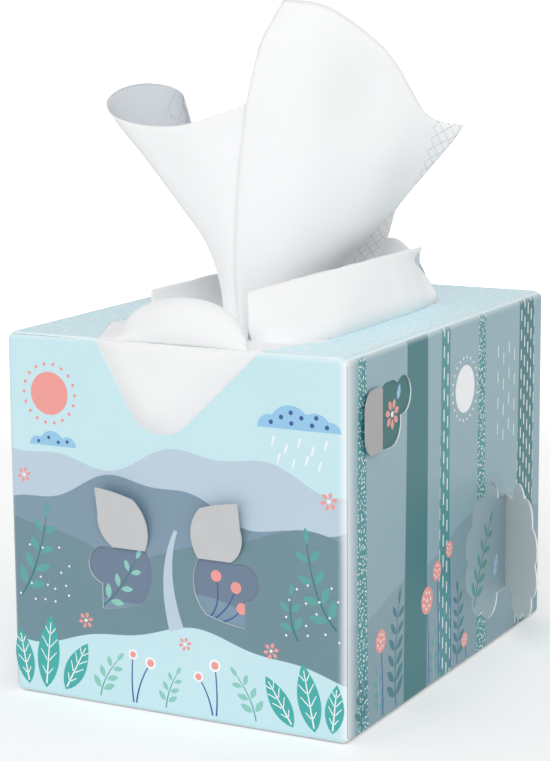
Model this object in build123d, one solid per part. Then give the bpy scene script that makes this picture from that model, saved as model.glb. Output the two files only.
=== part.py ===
from build123d import *
import os
from math import cos, pi, sin

# An upright tissue box of printed folded board, with its tissues.
# Origin at the middle of the underside, front wall towards -Y, right wall towards +X, up +Z.
# All sizes are millimetres.

# Box
box_width = 122.0
box_depth = 160.0
box_height = 120.0
board = 0.5
fold_radius = 2.0
seam_width = 0.3
flap_margin = 2.0
glue_tab = 14.0

# Top opening, which runs over the front edge into a rounded dip
opening_half_width = 40.0
opening_length = 132.0
opening_taper = 19.0
opening_corner = 8.0
mouth_left = 27.5
mouth_right = 31.5
mouth_taper = 29.0
dip_point_x = -6.9
dip_point_depth = 36.8
dip_radius = 13.0

# Windows and flaps: the cut gap runs all round a flap and is also its distance from the hinge line
cut_gap = 0.3
finger_radius = 6.2
front_pair_x = -0.5
front_hinge_inner = 9.5
front_hinge_outer = 21.5
front_window_outer = 26.0
front_hinge_z = 53.0
front_window_drop = 20.6
front_flap_shoulder = 0.8
front_flap_belly = 1.8
front_flap_toe = 2.5
front_open_angle = 170.0

upper_hinge_from_front = 23.5
upper_window_below_top = 22.0
upper_window_width = 14.6
upper_window_height = 21.0
upper_cut_off = 3.0
upper_open_angle = 176.0

lower_hinge_from_back = 32.0
lower_window_z = 35.0
lower_window_width = 31.0
lower_window_height = 34.0
scallop_radius = 7.2
scallops = 6
lower_open_angle = 38.0

# Inner card that shows in the windows
liner_board = 0.4
glue_gap = 0.1
liner_margin = 8.0

# Pile of tissues, bent over like an inverted U
pile_side_gap = 7.0
pile_end_gap = 6.0
pile_headroom = 3.8
pile_floor_gap = 0.2
pile_shoulder = 30.0
pile_bend_radius = 16.0
pile_thickness = 58.0

# Tissues at the opening
seat_gap = 0.3
tissue_thickness = 0.5
lip_thickness = 0.8
rim_gap = 1.0
lip_tuck = 3.0
lip_bulge = 0.1
lip_belly = 0.5
right_lip_height = 17.0
right_lip_lean = 4.5
right_lip_start = 16.0
right_lip_sweep = 40.0
right_lip_foot_ahead = 12.0
right_lip_belly_ahead = 14.0
right_lip_top_ahead = 11.0
right_lip_run = 14.0
left_lip_height = 11.0
left_lip_lean = 10.0
back_lip_height = 20.0
back_lip_half = 26.0
back_lip_lean = 4.0
pillow_bulge = 2.4
pillow_depth = 6.0
dome_height = 13.0
dome_depth = 11.0

# Tissue pulled up, measured from where it bends out of the slit
pull_x = 4.0
pull_from_front = 39.0
pull_length = 61.0
slit_gap = 2.0
slit_left = 6.0
wing_foot_left = 5.0
wing_foot_back = 3.0
wing_height = 71.0
wing_reach = 40.5
wing_bow = 1.5
wing_crest = 2.0
curl_radius = 13.0
curl_back = 10.0
curl_tilt = 5.5
sail_height = 103.5
sail_reach = 50.0
sail_lean = 1.5
low_belly_back = 17.0
low_belly_drop = 2.0
low_hem_drop = 7.0
high_belly_back = 19.0
high_belly_drop = 4.0
high_hem_drop = 11.0
peak_right = 5.5
peak_back = 19.0
shoulder_back = 33.0
shoulder_drop = 8.0
flank_back = 47.0
flank_drop = 28.0
corner_drop = 41.0
hem_back = 2.0
leaf_width = 16.0
leaf_turn = 45.0
leaf_from = 0.03
leaf_to = 0.45

half_width = box_width / 2
front_y = -box_depth / 2
back_y = box_depth / 2
opening_back = front_y + opening_length
front_outer_x = front_window_outer + 0.8 * finger_radius
upper_hinge_y = front_y + upper_hinge_from_front
upper_window_z = box_height - upper_window_below_top
lower_hinge_y = back_y - lower_hinge_from_back
pile_front = front_y + pile_end_gap
pull_y = front_y + pull_from_front
pile_foot = 2 * board + pile_floor_gap
pile_top = box_height - pile_headroom
spread_bottom = pile_top + seat_gap
lip_foot = spread_bottom + lip_thickness
rim_front = front_y + mouth_taper
rim_back = opening_back - opening_taper


def rounded_block(width, depth, bottom, top, radius):
    """A block between two heights, with every edge rounded like a fold of board."""
    centre = (bottom + top) / 2
    block = Pos(0, 0, centre) * Box(width, depth, top - bottom)
    return fillet(block.edges(), radius)


def corner_vertices(sketch, x, y):
    """The vertices of a flat shape that lie at one point."""
    return sketch.vertices().filter_by(lambda v: abs(v.X - x) < 1e-4 and abs(v.Y - y) < 1e-4)


def opening_outline(inset):
    """The opening seen from above: a long octagon that starts where the top bends down."""
    half = opening_half_width
    fold_line = front_y + fold_radius
    points = [
        (-mouth_left, fold_line),
        (mouth_right, fold_line),
        (half, rim_front),
        (half, rim_back),
        (half - opening_corner, opening_back),
        (opening_corner - half, opening_back),
        (-half, rim_back),
        (-half, rim_front),
    ]
    outline = make_face(Polyline(*points, close=True))
    rounded = [v for v in outline.vertices() if v.Y > fold_line + board]
    return offset(fillet(rounded, opening_corner), -inset)


def dip_outline(inset):
    """The dip seen from the front, in x and z: two slopes that meet in a round bottom."""
    rise = 2 * fold_radius
    slope_left = (dip_point_x + mouth_left) / dip_point_depth
    slope_right = (mouth_right - dip_point_x) / dip_point_depth
    dip_point_z = box_height - dip_point_depth
    outline = make_face(
        Polyline(
            (dip_point_x, dip_point_z),
            (mouth_right + slope_right * rise, box_height + rise),
            (-mouth_left - slope_left * rise, box_height + rise),
            close=True,
        )
    )
    point = corner_vertices(outline, dip_point_x, dip_point_z)
    return offset(fillet(point, dip_radius), -inset)


def on_front(sketch, y, reach):
    """A shape drawn in x and z, as a solid from the plane at y back into the box by reach."""
    return extrude(Plane.XZ.offset(-y) * sketch, -reach)


def on_right(sketch, x, reach):
    """A shape drawn in y and z, as a solid from the plane at x into the box by reach."""
    return extrude(Plane.YZ.offset(x) * sketch, -reach)


def front_flap_outline():
    """The right front flap's shape: hinge along the top, straight outer side, curved inner side."""
    inner, outer, side = front_hinge_inner, front_hinge_outer, front_window_outer
    top, drop = front_hinge_z, front_window_drop
    shoulder, heel = (side, top - 0.55 * drop), (side, top - drop)
    toe = (inner + front_flap_toe, top - 0.86 * drop)
    edges = Curve() + [
        Line((inner, top), (outer, top)),
        ThreePointArc((outer, top), (side - front_flap_shoulder, top - 0.2 * drop), shoulder),
        Line(shoulder, heel),
        ThreePointArc(heel, (side - 0.4 * inner, top - 0.98 * drop), toe),
        ThreePointArc(toe, (inner - front_flap_belly, top - 0.45 * drop), (inner, top)),
    ]
    return make_face(edges)


def front_finger_hole():
    centre_x = front_window_outer - 0.2 * finger_radius
    return Pos(centre_x, front_hinge_z - finger_radius) * Circle(finger_radius)


def upper_flap_outline():
    """The upper side flap's shape: an oval cut off straight at its hinge."""
    width, height = upper_window_width, upper_window_height
    oval = Pos(upper_hinge_y + width / 2 - upper_cut_off / 2, upper_window_z) * RectangleRounded(
        width + upper_cut_off, height, 0.47 * width
    )
    beyond = Pos(upper_hinge_y, upper_window_z) * Rectangle(
        2 * width, 2 * height, align=(Align.MIN, Align.CENTER)
    )
    return oval & beyond


def upper_finger_hole():
    centre_y = upper_hinge_y + upper_window_width + 0.2 * finger_radius
    return Pos(centre_y, upper_window_z + 0.22 * upper_window_height) * Circle(finger_radius)


def lower_flap_outline():
    """The lower side flap's shape: a leafy clump, scalloped all round and straight at its hinge."""
    reach_y, reach_z = lower_window_width / 2, lower_window_height / 2
    centre_y = lower_hinge_y - reach_y
    clump = Pos(centre_y, lower_window_z) * Rectangle(
        2 * reach_y, 2 * reach_z - scallop_radius, align=(Align.CENTER, Align.CENTER)
    )
    for i in range(scallops):
        angle = pi / 2 + pi * i / (scallops - 1)
        clump += Pos(
            centre_y + reach_y * cos(angle), lower_window_z + reach_z * sin(angle)
        ) * Circle(scallop_radius)
    clump += Pos(centre_y, lower_window_z) * Rectangle(
        reach_y, 2 * reach_z, align=(Align.MIN, Align.CENTER)
    )
    beyond = Pos(lower_hinge_y, lower_window_z) * Rectangle(
        4 * reach_y, 4 * reach_z, align=(Align.MAX, Align.CENTER)
    )
    return clump & beyond


def carton():
    """Walls, dust flaps, outer flaps and glue tab as one folded and glued card."""
    sleeve_bottom, sleeve_top = board, box_height - board
    sleeve = rounded_block(box_width, box_depth, sleeve_bottom, sleeve_top, fold_radius)
    sleeve -= rounded_block(
        box_width - 2 * board, box_depth - 2 * board,
        sleeve_bottom + board, sleeve_top - board, fold_radius - board,
    )
    # Only the dust flaps and the back's inner flap lie under the outer top flap
    between_flaps = Pos(0, front_y + board, sleeve_top) * Box(
        2 * (opening_half_width + flap_margin), opening_length + flap_margin, 4 * fold_radius,
        align=(Align.CENTER, Align.MIN, Align.CENTER),
    )
    sleeve -= between_flaps

    # Front wall with the outer top and bottom flaps, bent round the front edges
    free_edge = back_y - fold_radius
    outer_width = box_width - 2 * fold_radius
    wrap = make_face(Polyline((front_y, 0), (free_edge, 0), (free_edge, box_height),
                              (front_y, box_height), close=True))
    wrap = fillet(wrap.vertices().group_by(Axis.X)[0], fold_radius)
    hollow = make_face(Polyline((front_y + board, board), (back_y, board),
                                (back_y, box_height - board),
                                (front_y + board, box_height - board), close=True))
    hollow = fillet(hollow.vertices().group_by(Axis.X)[0], fold_radius - board)
    card = sleeve + extrude(Plane.YZ * (wrap - hollow), outer_width / 2, both=True)

    # Glue tab inside the back wall, and the cut edge of the back wall beside it
    wall_x, wall_y = -half_width + board, back_y - board
    card += Pos(wall_x + board, wall_y, box_height / 2) * Box(
        glue_tab, board, box_height - 4 * fold_radius, align=(Align.MIN, Align.MAX, Align.CENTER)
    )
    card -= Pos(-half_width + fold_radius, back_y, box_height / 2) * Box(
        seam_width, board, box_height - 4 * fold_radius
    )

    card -= Pos(0, 0, box_height - 2 * fold_radius) * extrude(opening_outline(0), 4 * fold_radius)
    card -= on_front(dip_outline(0), front_y - board, board + fold_radius)
    for outline in front_windows():
        card -= on_front(outline, front_y - board, 2 * board)
    for outline in side_windows():
        card -= on_right(outline, half_width + board, 2 * board)
    return card


def front_windows():
    window = front_flap_outline() + front_finger_hole()
    right = Pos(front_pair_x, 0) * window
    left = Pos(front_pair_x, 0) * mirror(window, Plane.YZ)
    return [left, right]


def side_windows():
    return [upper_flap_outline() + upper_finger_hole(), lower_flap_outline()]


def corner_sheet(inset, thickness, reach_left, reach_back):
    """The section of a card folded round the box's front right corner, inside its walls."""
    x, y = half_width - inset, front_y + inset
    outer = make_face(Polyline((x, y), (x, y + reach_back), (x - reach_left, y + reach_back),
                               (x - reach_left, y), close=True))
    outer = fillet(corner_vertices(outer, x, y), fold_radius - inset)
    x, y = x - thickness, y + thickness
    inner = make_face(Polyline((x, y), (x, y + reach_back), (x - reach_left, y + reach_back),
                               (x - reach_left, y), close=True))
    inner = fillet(corner_vertices(inner, x, y), fold_radius - inset - thickness)
    return outer - inner


def inner_liner():
    """The inner card, lower along the front so that it stays clear of the dip."""
    bottom = board + fold_radius + glue_gap
    top = upper_window_z + upper_window_height / 2 + liner_margin
    reach_left = half_width - front_pair_x + front_outer_x + liner_margin
    reach_back = lower_hinge_y + liner_margin - front_y
    section = corner_sheet(board + glue_gap, liner_board, reach_left, reach_back)
    card = Pos(0, 0, bottom) * extrude(section, top - bottom)
    above_front = Pos(half_width - fold_radius, front_y, front_hinge_z + liner_margin) * Box(
        box_width, 2 * fold_radius, box_height, align=(Align.MAX, Align.CENTER, Align.MIN)
    )
    return card - above_front


def front_flaps():
    """Both front flaps, cut to fit their windows and folded up on their hinges."""
    shape = offset(front_flap_outline(), -cut_gap)
    hinge = Axis((0, front_y, front_hinge_z), (-1, 0, 0))
    flaps = []
    for outline in (mirror(shape, Plane.YZ), shape):
        flap = on_front(Pos(front_pair_x, 0) * outline, front_y, board)
        flaps.append(flap.rotate(hinge, front_open_angle))
    return flaps


def side_flaps():
    """The two side flaps, cut to fit their windows and swung open on their hinges."""
    upper = on_right(offset(upper_flap_outline(), -cut_gap), half_width, board)
    upper = upper.rotate(Axis((half_width, upper_hinge_y, 0), (0, 0, -1)), upper_open_angle)
    lower = on_right(offset(lower_flap_outline(), -cut_gap), half_width, board)
    lower = lower.rotate(Axis((half_width, lower_hinge_y, 0), (0, 0, 1)), lower_open_angle)
    return upper, lower


def tissue_stack():
    """The pile of folded sheets, bent over a narrow gap and standing on its two ends."""
    outer = make_face(Polyline((pile_front, pile_foot), (-pile_front, pile_foot),
                               (-pile_front, pile_top), (pile_front, pile_top), close=True))
    outer = fillet(outer.vertices().group_by(Axis.Y)[-1], pile_shoulder)
    bend_z = pile_top - pile_thickness - pile_bend_radius
    gap = Pos(0, pile_foot) * SlotCenterToCenter(
        2 * (bend_z - pile_foot), 2 * pile_bend_radius, rotation=90
    )
    return extrude(Plane.YZ * (outer - gap), half_width - pile_side_gap, both=True)


def columns(ribs, across=10, up=8):
    """Rows of points that rise through ribs lying one above the other."""
    for i in range(across + 1):
        points = [rib @ (i / across) for rib in ribs]
        rise = Spline(*points) if len(points) > 2 else Line(*points)
        yield [rise @ (j / up) for j in range(up + 1)]


def skin(stretches, thickness):
    """A thin curved sheet over stretches of ribs that follow each other sideways."""
    grid = []
    for ribs in stretches:
        grid += list(columns(ribs))[min(1, len(grid)):]
    return Solid.thicken(Face.make_surface_from_array_of_points(grid), thickness)


def ellipsoid(x, y, z, across, along, up):
    return Pos(x, y, z) * scale(Sphere(1), by=(across, along, up))


def right_lip():
    """The lip that rises from inside the opening's right rim, bulges over it and leans inwards."""
    rim = opening_half_width - rim_gap
    top = box_height + right_lip_height
    ribs = []
    for x, ahead, run, z in (
        (rim - lip_tuck, right_lip_foot_ahead, right_lip_run, lip_foot),
        (rim + lip_bulge, right_lip_belly_ahead, right_lip_run,
         box_height + lip_belly * right_lip_height),
        (rim - right_lip_lean, right_lip_top_ahead, right_lip_sweep, top),
    ):
        ribs.append(Spline((right_lip_start, rim_front - ahead, z),
                           (0.8 * x, rim_front - ahead + 0.35 * (ahead + run), z),
                           (x, rim_front + run, z), (x, rim_back, z)))
    return skin([ribs], lip_thickness)


def left_lip():
    """The lower lip over the left rim, which starts further back and folds in further."""
    rim = opening_half_width - rim_gap
    ribs = []
    for x, start, z in (
        (rim - lip_tuck, rim_front + lip_tuck, lip_foot),
        (rim + lip_bulge, rim_front + lip_tuck, box_height + lip_belly * left_lip_height),
        (rim - left_lip_lean, rim_front + left_lip_lean, box_height + left_lip_height),
    ):
        ribs.append(Line((-x, rim_back, z), (-x, start, z)))
    return skin([ribs], lip_thickness)


def back_lip():
    """The lip along the opening's short back rim, which stands highest at its right."""
    rim = opening_back - rim_gap
    ribs = []
    for half, y, left, right in (
        (back_lip_half, rim - lip_tuck, lip_foot - box_height, lip_foot - box_height),
        (back_lip_half + lip_bulge, rim - lip_bulge, 0.35 * back_lip_height,
         lip_belly * back_lip_height),
        (back_lip_half - lip_bulge, rim - lip_tuck - back_lip_lean, 0.65 * back_lip_height,
         0.9 * back_lip_height),
    ):
        middle = (left + right) / 2
        ribs.append(Spline((half, y, box_height + right),
                           (0.6 * half, y + lip_bulge, box_height + right),
                           (0, y + lip_bulge, box_height + middle),
                           (-half, y, box_height + left)))
    return skin([ribs], lip_thickness)


def next_tissue():
    """The top sheet: spread over the pile, with lips along the rim and a pillow in the dip."""
    spread = Pos(0, 0, spread_bottom) * extrude(opening_outline(rim_gap + 1), lip_thickness)
    spread = split(spread, Plane.XZ.offset(-pile_front), keep=Keep.BOTTOM)
    slit = Pos(pull_x + slit_gap, pull_y - slit_gap, lip_foot) * Box(
        slit_gap + slit_left, pull_length + 2 * slit_gap, 4 * lip_thickness,
        align=(Align.MAX, Align.MIN, Align.CENTER),
    )

    middle = (mouth_right - mouth_left) / 2
    half_mouth = (mouth_right + mouth_left) / 2
    pillow = on_front(dip_outline(rim_gap), front_y - 2 * pillow_bulge,
                      pile_front - seat_gap - front_y + 2 * pillow_bulge)
    crown_y = front_y + pillow_depth
    pillow &= ellipsoid(middle, crown_y, box_height - 0.4 * dip_point_depth,
                        1.2 * half_mouth, pillow_depth + pillow_bulge, 0.8 * dip_point_depth)
    dome = ellipsoid(middle, front_y + dome_depth - pillow_bulge, box_height - pillow_bulge,
                     0.94 * half_mouth, dome_depth, dome_height + pillow_bulge)
    dome = split(dome, Plane.XY.offset(lip_foot), keep=Keep.TOP)
    return spread - slit + right_lip() + left_lip() + back_lip() + pillow + dome


def pulled(x, y, z):
    """A point of the pulled tissue, from where it bends out of the slit and the box's top."""
    return (pull_x + x, pull_y + y, box_height + z)


def pulled_tissue():
    """The sheet pulled up out of the opening: a curled wing at the left, a sail at the right and
    the sail's edge turned back behind it."""
    foot = spread_bottom - box_height
    low, high = 0.27 * sail_height, 0.56 * sail_height
    front, back = wing_height - curl_tilt, wing_height + curl_tilt
    wing_foot = Line(pulled(-wing_foot_left, wing_foot_back, foot), pulled(0, 0, foot))
    wing_top = Spline(
        pulled(0.9 * curl_radius - wing_reach, curl_back + 0.5 * curl_radius, wing_height),
        pulled(-wing_reach, curl_back + curl_radius, back),
        pulled(-wing_reach - curl_radius, curl_back, wing_height),
        pulled(-wing_reach, curl_back - curl_radius, front),
        pulled(-0.6 * wing_reach, -wing_bow, front),
        pulled(-0.25 * wing_reach, -wing_bow / 3, wing_height),
        pulled(wing_crest, wing_crest / 2, wing_height + wing_crest),
    )
    sail_foot = Line(pulled(0, 0, foot), pulled(0, pull_length, foot))
    sail_low = Spline(
        pulled(-sail_lean, 0, low),
        pulled(0.2 * sail_reach, low_belly_back, low - low_belly_drop),
        pulled(0.26 * sail_reach, pull_length + hem_back, low - low_hem_drop),
    )
    sail_high = Spline(
        pulled(sail_lean / 3, 0, high),
        pulled(0.52 * sail_reach, high_belly_back, high - high_belly_drop),
        pulled(0.74 * sail_reach, pull_length + 2 * hem_back, high - high_hem_drop),
    )
    sail_top = Spline(
        pulled(peak_right, peak_back, sail_height),
        pulled(0.56 * sail_reach, shoulder_back, sail_height - shoulder_drop),
        pulled(0.76 * sail_reach, flank_back, sail_height - flank_drop),
        pulled(sail_reach, pull_length + hem_back, sail_height - corner_drop),
    )
    wing, sail = [wing_foot, wing_top], [sail_foot, sail_low, sail_high, sail_top]
    sheet = skin([wing, sail], tissue_thickness)

    # The turned-back edge narrows upwards along the sail's right edge
    hem = Spline(sail_foot @ 1, sail_low @ 1, sail_high @ 1, sail_top @ 1)
    ribs = []
    for i in range(4):
        share = i / 3
        held = hem @ (leaf_from + (leaf_to - leaf_from) * share)
        reach = leaf_width * (1 - 0.95 * share)
        outward = Vector(reach, 0, 0).rotate(Axis.Z, leaf_turn)
        ribs.append(Line(held - Vector(seat_gap, 0, 0), held + outward))
    return sheet + skin([ribs], tissue_thickness)


os.makedirs("parts", exist_ok=True)
front_left, front_right = front_flaps()
side_upper, side_lower = side_flaps()
nodes = {
    "carton": carton(),
    "inner_liner": inner_liner(),
    "front_left_flap": front_left,
    "front_right_flap": front_right,
    "side_upper_flap": side_upper,
    "side_lower_flap": side_lower,
    "tissue_stack": tissue_stack(),
    "next_tissue": next_tissue(),
    "pulled_tissue": pulled_tissue(),
}
for name, shape in nodes.items():
    export_step(shape, f"parts/{name}.step")
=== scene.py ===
import math
import random

import bpy
from mathutils import Matrix, Vector, noise


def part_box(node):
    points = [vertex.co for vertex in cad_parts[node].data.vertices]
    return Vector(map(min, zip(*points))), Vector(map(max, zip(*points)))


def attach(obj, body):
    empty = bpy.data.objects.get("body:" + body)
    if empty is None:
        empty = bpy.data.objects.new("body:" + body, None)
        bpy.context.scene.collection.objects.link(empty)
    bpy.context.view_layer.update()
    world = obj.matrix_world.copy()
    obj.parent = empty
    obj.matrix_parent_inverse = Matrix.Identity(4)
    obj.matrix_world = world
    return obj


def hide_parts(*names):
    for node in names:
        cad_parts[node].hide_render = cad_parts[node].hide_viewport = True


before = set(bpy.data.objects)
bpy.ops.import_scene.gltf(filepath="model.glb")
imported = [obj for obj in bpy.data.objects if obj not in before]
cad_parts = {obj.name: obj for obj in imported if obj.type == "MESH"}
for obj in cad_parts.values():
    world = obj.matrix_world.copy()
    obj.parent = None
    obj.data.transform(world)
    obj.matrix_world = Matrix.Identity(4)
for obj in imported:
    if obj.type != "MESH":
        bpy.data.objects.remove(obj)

# Without a seed of its own this noise starts from the clock, and no two runs would agree
noise.seed_set(7)

# The tissue box's looks: printed board, open die-cut flaps and the tissues at its opening.
# Sizes below are millimetres, as in the part's source, and MM turns them into the scene's unit.
MM = 0.001
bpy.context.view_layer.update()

carton_low, carton_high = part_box("carton")
liner_low, liner_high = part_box("inner_liner")
HALF_WIDTH, TOP = carton_high.x / MM, carton_high.z / MM
FRONT, BACK = carton_low.y / MM, carton_high.y / MM
LINER_FRONT, LINER_RIGHT = liner_low.y / MM, liner_high.x / MM

# The opening and its dip, as they are cut in the board
MOUTH_LEFT, MOUTH_RIGHT = -27.5, 31.5
DIP_X, DIP_DEPTH, DIP_RADIUS = -6.9, 36.8, 13.0
RIM = 40.0
RIM_BACK = FRONT + 132.0
RIM_TURN = FRONT + 29.0
RIM_END = RIM_BACK - 19.0

# The dip's sides run together at a slope, and a round joins them at its foot
LEFT_SLOPE, RIGHT_SLOPE = (DIP_X - MOUTH_LEFT) / DIP_DEPTH, (MOUTH_RIGHT - DIP_X) / DIP_DEPTH
LEFT_LEAN, RIGHT_LEAN = math.atan(LEFT_SLOPE), math.atan(RIGHT_SLOPE)
ROUND_REACH = DIP_RADIUS / math.sin((LEFT_LEAN + RIGHT_LEAN) / 2)
ROUND_X = DIP_X + ROUND_REACH * math.sin((RIGHT_LEAN - LEFT_LEAN) / 2)
ROUND_DEPTH = DIP_DEPTH - ROUND_REACH * math.cos((RIGHT_LEAN - LEFT_LEAN) / 2)
DIP_LOWEST = ROUND_DEPTH + DIP_RADIUS

# The four flaps' hinge lines and how far they stand open
FRONT_HINGE_Z, FRONT_OPEN = 53.0, 170.0
UPPER_HINGE_Y, UPPER_OPEN = FRONT + 23.5, 176.0
LOWER_HINGE_Y, LOWER_OPEN = BACK - 32.0, 38.0

BOARD, FOLD = 0.5, 2.0
INK = 0.01
SHEET = 0.32
EMBOSS_BAND = 11.0
FLAT_UNIT = 100.0        # millimetres in one unit of the tissues' own map

# Print, board and paper colours, as they look on a screen
# The top's aqua is written lighter than the front's, painted light that makes up for the weaker light on the
# top
AQUA, TOP_AQUA_PAINTED_LIGHT, PLAIN_AQUA = "cbecf3", "d6f7ff", "bfdfe6"
SLATE, SLATE_LIGHT, LILAC = "6f8f9b", "809aad", "c0d3e1"
# The right wall's mist and pole colours are written darker than their print, so they are part print and part
# painted shade for that wall
MIST, FOOT_MIST, LOW_MIST, POLE_DARK, POLE_MID = "98b8c2", "90aeb9", "86a4b0", "2c787f", "3f9599"
LINER_SLATE, LINER_MIST, LINER_TEAL = "71839a", "a5bdc4", "3f7878"
PRINT_WHITE, VEIL_WHITE, STUDIO_WHITE = "fbfdfe", "ffffff", "fbfbfb"
# The side flaps' backs are the same board as FLAP_BACK, painted darker on the upper flap as shade and lighter
# on the lower flap as light
FLAP_BACK, UPPER_BACK_PAINTED_SHADE, LOWER_BACK_PAINTED_LIGHT, FIBRE = "cccdce", "b4b3b2", "f0efee", "c2c3c5"
BOARD_CORE = "f0f3f3"
# EMBOSS is the grey painted into the emboss's pressed dots as their shade
# The tissue's reverse is the same white paper painted greyer, painted shade on the far side of every sheet
TISSUE, TISSUE_REVERSE_PAINTED_SHADE, EMBOSS = "fafbfc", "d0d5da", "b2b8be"
PILE_WHITE, PILE_EDGE = "f2f5f8", "c3cad1"
INKS = {
    "coral": "f5a09a", "sky_blue": "98cbed", "indigo": "3a5ba0", "white": PRINT_WHITE, "teal": "3fb0ac",
    "teal_green": "5aa8a3", "mint": "8fcfc2", "fern": "2f7f84", "lilac": LILAC,
}
VARNISH = {"Coat Weight": 0.18, "Coat Roughness": 0.3}
PRINT_ROUGHNESS, PRINT_GRAIN = 0.42, 0.012


def colour(code):
    """A screen colour as the scene's linear values."""
    shares = [int(code[i:i + 2], 16) / 255 for i in (0, 2, 4)]
    linear = [c / 12.92 if c <= 0.04045 else ((c + 0.055) / 1.055) ** 2.4 for c in shares]
    return (*linear, 1.0)


def added(name, data):
    """A new object of this data in the scene."""
    piece = bpy.data.objects.new(name, data)
    bpy.context.scene.collection.objects.link(piece)
    return piece


def only(*pieces):
    """Selects these pieces alone, the first one active."""
    bpy.ops.object.select_all(action="DESELECT")
    for piece in pieces:
        piece.select_set(True)
    bpy.context.view_layer.objects.active = pieces[0]


def weld(piece, gap, *materials):
    """Merges a piece's double points and gives it these materials alone."""
    only(piece)
    bpy.ops.object.mode_set(mode="EDIT")
    bpy.ops.mesh.select_all(action="SELECT")
    bpy.ops.mesh.remove_doubles(threshold=gap)
    bpy.ops.object.mode_set(mode="OBJECT")
    piece.data.materials.clear()
    for material in materials:
        piece.data.materials.append(material)


class Wire:
    """One value in a node tree, with the arithmetic that the patterns need."""

    def __init__(self, nodes, socket):
        self.nodes, self.socket = nodes, socket

    def of(self, operation, other=0.0):
        return self.nodes.node("ShaderNodeMath", {"operation": operation}, (self, other))

    def __add__(self, other):
        return self.of("ADD", other)

    def __sub__(self, other):
        return self.of("SUBTRACT", other)

    def __rsub__(self, other):
        return self.nodes.node("ShaderNodeMath", {"operation": "SUBTRACT"}, (other, self))

    def __mul__(self, other):
        return self.of("MULTIPLY", other)

    def __truediv__(self, other):
        return self.of("DIVIDE", other)

    def above(self, level, soft=0.1):
        """1 where the value is over a level, with a soft edge."""
        return self.nodes.node(
            "ShaderNodeMapRange", {"interpolation_type": "SMOOTHSTEP"},
            {"Value": self - level, "From Min": -soft, "From Max": soft}, "Result",
        )

    def below(self, level, soft=0.1):
        return 1 - self.above(level, soft)


class Nodes:
    """A node tree, built up node by node."""

    def __init__(self, tree):
        self.tree = tree

    def feed(self, node, values):
        """Sets a node's inputs or links them; text stands for a colour."""
        for key, value in values.items() if isinstance(values, dict) else enumerate(values):
            if isinstance(value, Wire):
                self.tree.links.new(value.socket, node.inputs[key])
            else:
                node.inputs[key].default_value = colour(value) if isinstance(value, str) else value

    def node(self, kind, settings=None, values=(), output=0):
        """Adds a node with its settings, then its inputs, and gives one of its outputs."""
        node = self.tree.nodes.new(kind)
        for name, value in (settings or {}).items():
            setattr(node, name, value)
        self.feed(node, values)
        return Wire(self, node.outputs[output])

    def parts_of(self, vector):
        return [self.node("ShaderNodeSeparateXYZ", {}, (vector,), axis) for axis in "XYZ"]

    def joined(self, x, y, z=0.0):
        return self.node("ShaderNodeCombineXYZ", {}, (x, y, z))

    def blend(self, mask, under, over):
        """One colour over another where the mask says."""
        return self.node("ShaderNodeMix", {"data_type": "RGBA"}, {0: mask, 6: under, 7: over}, 2)

    def lightened(self, paint, amount):
        """The paint made a little lighter or darker by a value around one half."""
        return self.node("ShaderNodeMix", {"data_type": "RGBA", "blend_type": "SOFT_LIGHT"},
                         {0: 1.0, 6: paint, 7: self.node("ShaderNodeCombineColor", {}, [amount] * 3)}, 2)


class Finish(Nodes):
    """A material of one surface. Its spot is the surface's place in the part, in millimetres."""

    def __init__(self, name, roughness, **inputs):
        self.material = bpy.data.materials.new(name)
        self.material.use_nodes = True
        super().__init__(self.material.node_tree)
        self.shader = self.tree.nodes["Principled BSDF"]
        self.feed(self.shader, {"Roughness": roughness, **inputs})
        self.spot = self.node(
            "ShaderNodeVectorMath", {"operation": "SCALE"},
            {"Vector": self.node("ShaderNodeTexCoord", output="Object"), "Scale": 1 / MM},
        )

    def mottle(self, size, detail):
        """Soft noise from 0 to 1, with features about this many millimetres wide."""
        return self.node("ShaderNodeTexNoise", {}, {"Vector": self.spot, "Scale": 1 / size, "Detail": detail})

    def done(self, paint, height=None, depth=PRINT_GRAIN):
        """Sets the colour, and a bump of this many millimetres from a height of 0 to 1."""
        self.feed(self.shader, {"Base Color": paint})
        if height is not None:
            bump = self.node("ShaderNodeBump", {}, {"Height": height, "Distance": depth * MM})
            self.feed(self.shader, {"Normal": bump})
        return self.material


def waves(x, base, *swells):
    """The height of a skyline: a base level with a few swells of (height, width, shift)."""
    line = base
    for height, width, shift in swells:
        line = (x / width + shift).of("SINE") * height + line
    return line


def front_fields(finish, x, _, z):
    """The front's colour fields: sky, far hills, near hills and meadow."""
    paint = finish.blend(z.above(waves(x, 83, (4, 15, 0.6), (2, 6.1, 2.0))), LILAC, AQUA)
    for code, *skyline in (
        (SLATE_LIGHT, 70, (6, 17, 2.4), (1.5, 5.3, 0.0)),
        (SLATE, 58, (7, 21, -0.7), (1.2, 6.7, 1.0)),
        (AQUA, 24, (5, 19, 1.2), (1.2, 6.3, 0.4)),
    ):
        paint = finish.blend(z.below(waves(x, *skyline)), paint, code)
    return paint


POLES = (
    # middle, half width, colour, pattern
    (-70, 3.2, POLE_MID, "specks"), (-30, 8.5, POLE_DARK, None), (-7, 4, POLE_MID, "dashes"),
    (24, 3.4, POLE_MID, "specks"), (64, 7.5, POLE_DARK, "dashes"),
)


def specks(finish, y, z, pitch=1.5, size=0.33):
    """White specks scattered at about this pitch."""
    near = finish.node("ShaderNodeTexVoronoi", {"voronoi_dimensions": "2D"},
                       {"Vector": finish.joined(y, z), "Scale": 1 / pitch}, "Distance")
    return near.below(size / pitch, 0.08)


def dashes(y, z, across=3.0, along=7.0):
    """Upright white dashes in staggered columns."""
    column = (y / across).of("FLOOR")
    aside = ((y / across).of("FRACT") - 0.5).of("ABSOLUTE")
    rise = ((z / along + column * 0.37).of("FRACT") - 0.5).of("ABSOLUTE")
    return aside.below(0.13, 0.05) * rise.below(0.28, 0.03)


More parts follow.
